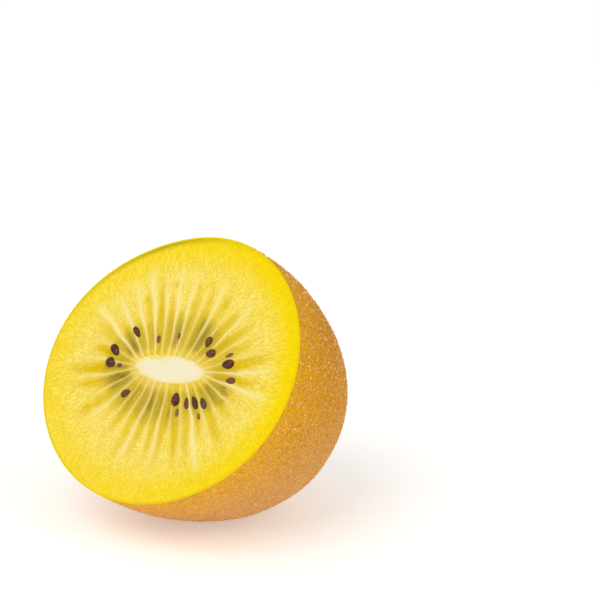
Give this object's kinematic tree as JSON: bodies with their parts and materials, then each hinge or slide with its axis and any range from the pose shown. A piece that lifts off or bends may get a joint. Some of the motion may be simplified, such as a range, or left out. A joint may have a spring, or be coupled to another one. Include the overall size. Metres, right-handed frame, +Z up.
{
  "type": "golden kiwi fruit half",
  "caption": "Golden kiwi fruit cut across, one half lying on its brown skin with the yellow flesh, fine rays, pale oval core and dark seeds tipped up.",
  "frame": {"origin": "on the surface that the fruit rests on, under the middle of its box", "axes": "+Z up; the cut face looks along -Y and up, 34 degrees above level; X is level along the cut"},
  "size_m": [0.0566, 0.0492, 0.0519],
  "materials": {
    "flesh": "moist, satin",
    "skin": "thin satin skin with short fuzz",
    "seed": "smooth, moist"
  },
  "bodies": {
    "root": {"half_fruit": "flesh"}
  },
  "joints": []
}
